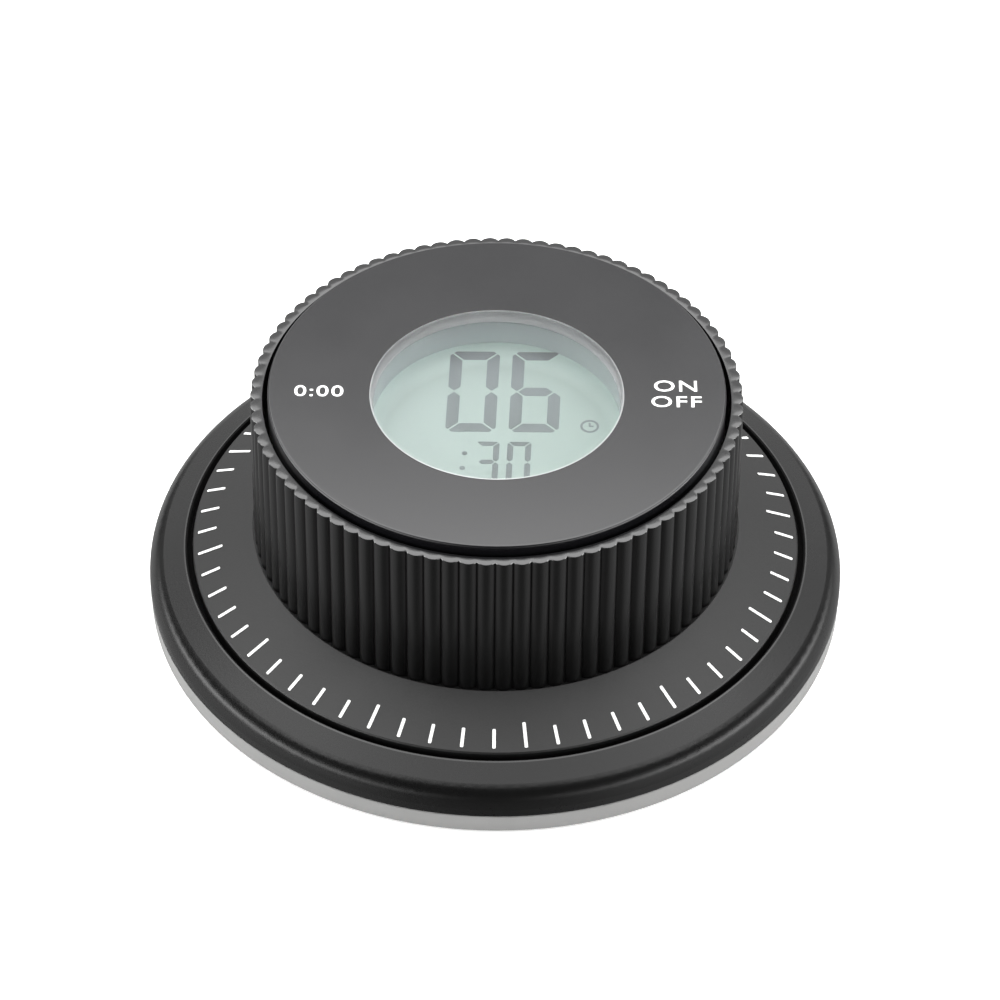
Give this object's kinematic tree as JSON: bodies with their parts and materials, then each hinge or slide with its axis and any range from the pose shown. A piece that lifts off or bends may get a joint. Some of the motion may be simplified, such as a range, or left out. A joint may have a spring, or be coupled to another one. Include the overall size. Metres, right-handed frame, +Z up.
{
  "type": "kitchen timer",
  "caption": "Round tabletop kitchen timer with a turning fluted knob and tick-marked dial, a rocking face plate and a round display window, on a wide non-slip base.",
  "frame": {"origin": "middle of the underside, on the table", "axes": "+Z up along the knob's axis, -Y towards the user, +X towards the start side of the face plate"},
  "size_m": [0.085, 0.085, 0.032],
  "materials": {
    "ring_black": "satin",
    "cover_black": "fine texture",
    "dial_black": "satin with white tick marks",
    "grip_black": "satin",
    "plate_black": "semi-gloss with white print",
    "foot_grey": "matt",
    "clear_lens": "polished clear plastic",
    "display_green": "matt film",
    "pane_clear": "clear",
    "reflector_silver": "satin",
    "frame_pale": "matt",
    "foam_grey": "foam",
    "zebra_rubber": "striped",
    "board_green": "solder mask",
    "resin_black": "glossy",
    "sounder_black": "matt",
    "can_silver": "satin",
    "encoder_blue": "matt",
    "acetal_white": "satin",
    "chassis_black": "matt",
    "screw_steel": "zinc plated",
    "pin_steel": "ground",
    "contact_nickel": "nickel plated",
    "lead_red": "smooth",
    "cell_wrap": "wrapped",
    "key_rubber": "silicone"
  },
  "bodies": {
    "base": {"base_housing": "ring_black", "bottom_cover": "cover_black", "foot_ring": "foot_grey", "lcd_front_polariser": "display_green", "lcd_front_glass": "pane_clear", "lcd_rear_glass": "pane_clear", "lcd_reflector": "reflector_silver", "lcd_frame": "frame_pale", "lcd_cushion": "foam_grey", "zebra_strips": "zebra_rubber", "main_pcb": "board_green", "controller_blob": "resin_black", "buzzer": "sounder_black", "clock_crystal": "can_silver", "encoder_body": "encoder_blue", "glide_ring": "acetal_white", "chassis": "chassis_black", "bottom_screws": "screw_steel", "chassis_screws": "screw_steel", "pivot_pins": "pin_steel", "battery_springs": "contact_nickel", "battery_link": "contact_nickel", "battery_terminals": "contact_nickel", "battery_leads": "lead_red", "battery_cell_a": "cell_wrap", "battery_cell_b": "cell_wrap", "mode_key_dome": "key_rubber", "start_key_dome": "key_rubber"},
    "knob": {"grip_ring": "grip_black", "dial_ring": "dial_black", "ring_gear": "acetal_white"},
    "pinion": {"encoder_pinion": "acetal_white"},
    "face": {"face_plate": "plate_black", "window_lens": "clear_lens"},
    "door": {"battery_door": "cover_black"}
  },
  "joints": [
    {"name": "knob_turn", "type": "hinge", "parent": "base", "child": "knob", "pos_m": [0, 0, 0.012], "axis": [0, 0, 1], "continuous": true},
    {"name": "pinion_turn", "type": "hinge", "parent": "base", "child": "pinion", "pos_m": [0.0216, 0, 0.016], "axis": [0, 0, 1], "continuous": true},
    {"name": "face_rock", "type": "hinge", "parent": "base", "child": "face", "pos_m": [0, 0, 0.0272], "axis": [0, 1, 0], "range_deg": [-1.5, 1.5], "stiffness_Nm_per_rad": 1.3, "deforming": ["mode_key_dome", "start_key_dome"]},
    {"name": "door_hinge", "type": "hinge", "parent": "base", "child": "door", "pos_m": [0.0243, 0, 0.0016], "axis": [0, -1, 0], "range_deg": [0, 85]}
  ],
  "couplings": [
    {"joint": "pinion_turn", "follows": "knob_turn", "ratio": 5.5}
  ]
}
